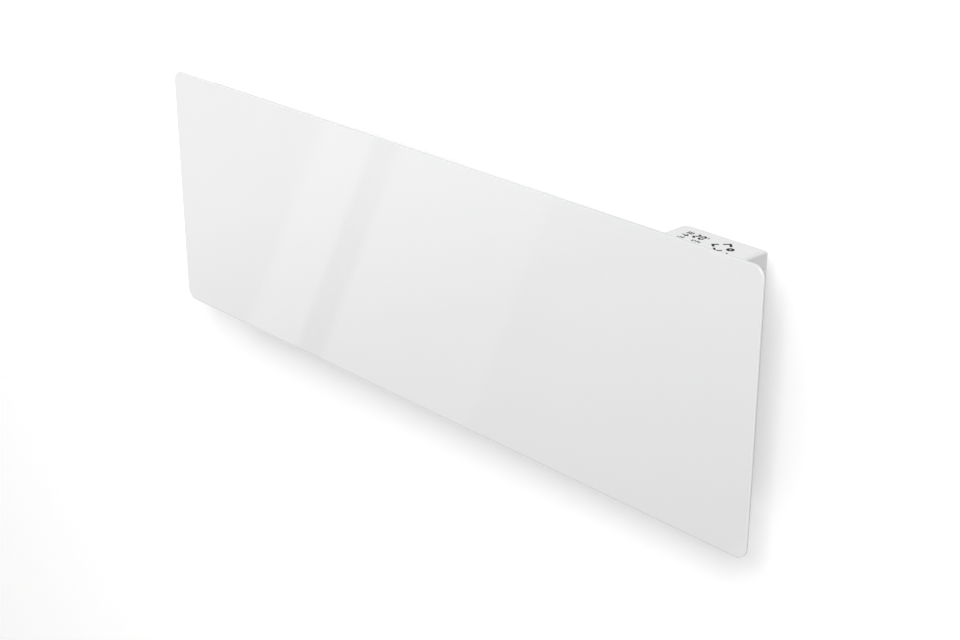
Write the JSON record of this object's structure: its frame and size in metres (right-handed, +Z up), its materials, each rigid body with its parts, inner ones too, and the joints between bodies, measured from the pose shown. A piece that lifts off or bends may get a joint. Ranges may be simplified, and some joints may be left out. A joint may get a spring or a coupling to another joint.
{
  "type": "convector heater",
  "caption": "Wall-hung electric convector heater: rounded glass front over a slim slotted steel casing, touch control box at the top right, hooks and wall bracket behind.",
  "frame": {"origin": "centre of the wall bracket's four screw slots, on the wall plane", "axes": "+Z up, +X to the right along the heater as seen from the room, +Y into the wall; the glass faces -Y"},
  "size_m": [1.04, 0.07, 0.34],
  "materials": {
    "bare_aluminium": "mill finish",
    "black_plastic": "fine matt moulding",
    "board_laminate": "green solder resist",
    "bracket_steel": "satin powder coat",
    "brass": "bright",
    "ceramic": "glazed steatite",
    "control_plastic": "fine satin moulding",
    "core_steel": "laminated core",
    "dark_rubber": "matt",
    "film_case": "epoxy case",
    "foam": "conducting foam",
    "lead_black": "silicone sleeve",
    "lead_earth": "earth sleeve",
    "lead_white": "silicone sleeve",
    "overlay_film": "satin printed film",
    "painted_steel": "fine satin powder coat",
    "relay_plastic": "matt case",
    "rocker_plastic": "semi-gloss moulding",
    "silicone": "clear-white silicone",
    "white_glass": "white back-printed safety glass",
    "zinc_steel": "bright zinc plate"
  },
  "bodies": {
    "wall_bracket": {"bracket_upper_rail": "bracket_steel", "bracket_lower_rail": "bracket_steel", "bracket_legs": "bracket_steel", "bracket_rivets": "zinc_steel"},
    "heater": {"front_glass": "white_glass", "glass_adhesive": "silicone", "front_casing": "painted_steel", "rear_cover": "painted_steel", "casing_screws": "zinc_steel", "partition": "zinc_steel", "partition_grommet": "dark_rubber", "heating_element": "bare_aluminium", "element_sheath": "zinc_steel", "terminal_ceramics": "ceramic", "terminal_pins": "zinc_steel", "element_bracket_left": "zinc_steel", "element_bracket_right": "zinc_steel", "element_bushes": "silicone", "heat_shield": "bare_aluminium", "cutout_bracket": "zinc_steel", "overheat_cutout": "black_plastic", "thermal_fuse": "zinc_steel", "fuse_clip": "zinc_steel", "control_housing": "control_plastic", "control_cover": "control_plastic", "display_overlay": "overlay_film", "display_board": "board_laminate", "touch_pads": "foam", "digit_display": "black_plastic", "status_lamps": "ceramic", "power_board": "board_laminate", "relay": "relay_plastic", "transformer": "core_steel", "film_capacitor": "film_case", "round_capacitor": "black_plastic", "board_fuse": "zinc_steel", "board_plug": "lead_white", "radio_module": "zinc_steel", "small_screws": "zinc_steel", "ribbon_cable": "lead_white", "cable_gland": "black_plastic", "gland_nut": "black_plastic", "terminal_block": "ceramic", "earth_stud": "brass", "mains_switch_body": "black_plastic", "sensor_holder": "black_plastic", "room_sensor": "black_plastic", "lead_live": "lead_black", "lead_switched": "lead_black", "lead_neutral": "lead_white", "earth_lead": "lead_earth", "element_lead_right": "lead_black", "element_lead_left": "lead_white", "sensor_lead": "lead_white", "hanger_left": "bracket_steel", "hanger_right": "bracket_steel", "hanger_rivets": "zinc_steel", "spacer_left": "black_plastic", "spacer_right": "black_plastic"},
    "switch_rocker": {"mains_rocker": "rocker_plastic"}
  },
  "joints": [
    {"name": "lift_off", "type": "slide", "parent": "wall_bracket", "child": "heater", "axis": [0, 0, 1], "range_m": [0, 0.014]},
    {"name": "rocker_tilt", "type": "hinge", "parent": "heater", "child": "switch_rocker", "pos_m": [0.4886, -0.0455, 0.02], "axis": [0, 1, 0], "range_deg": [-16, 0]}
  ]
}
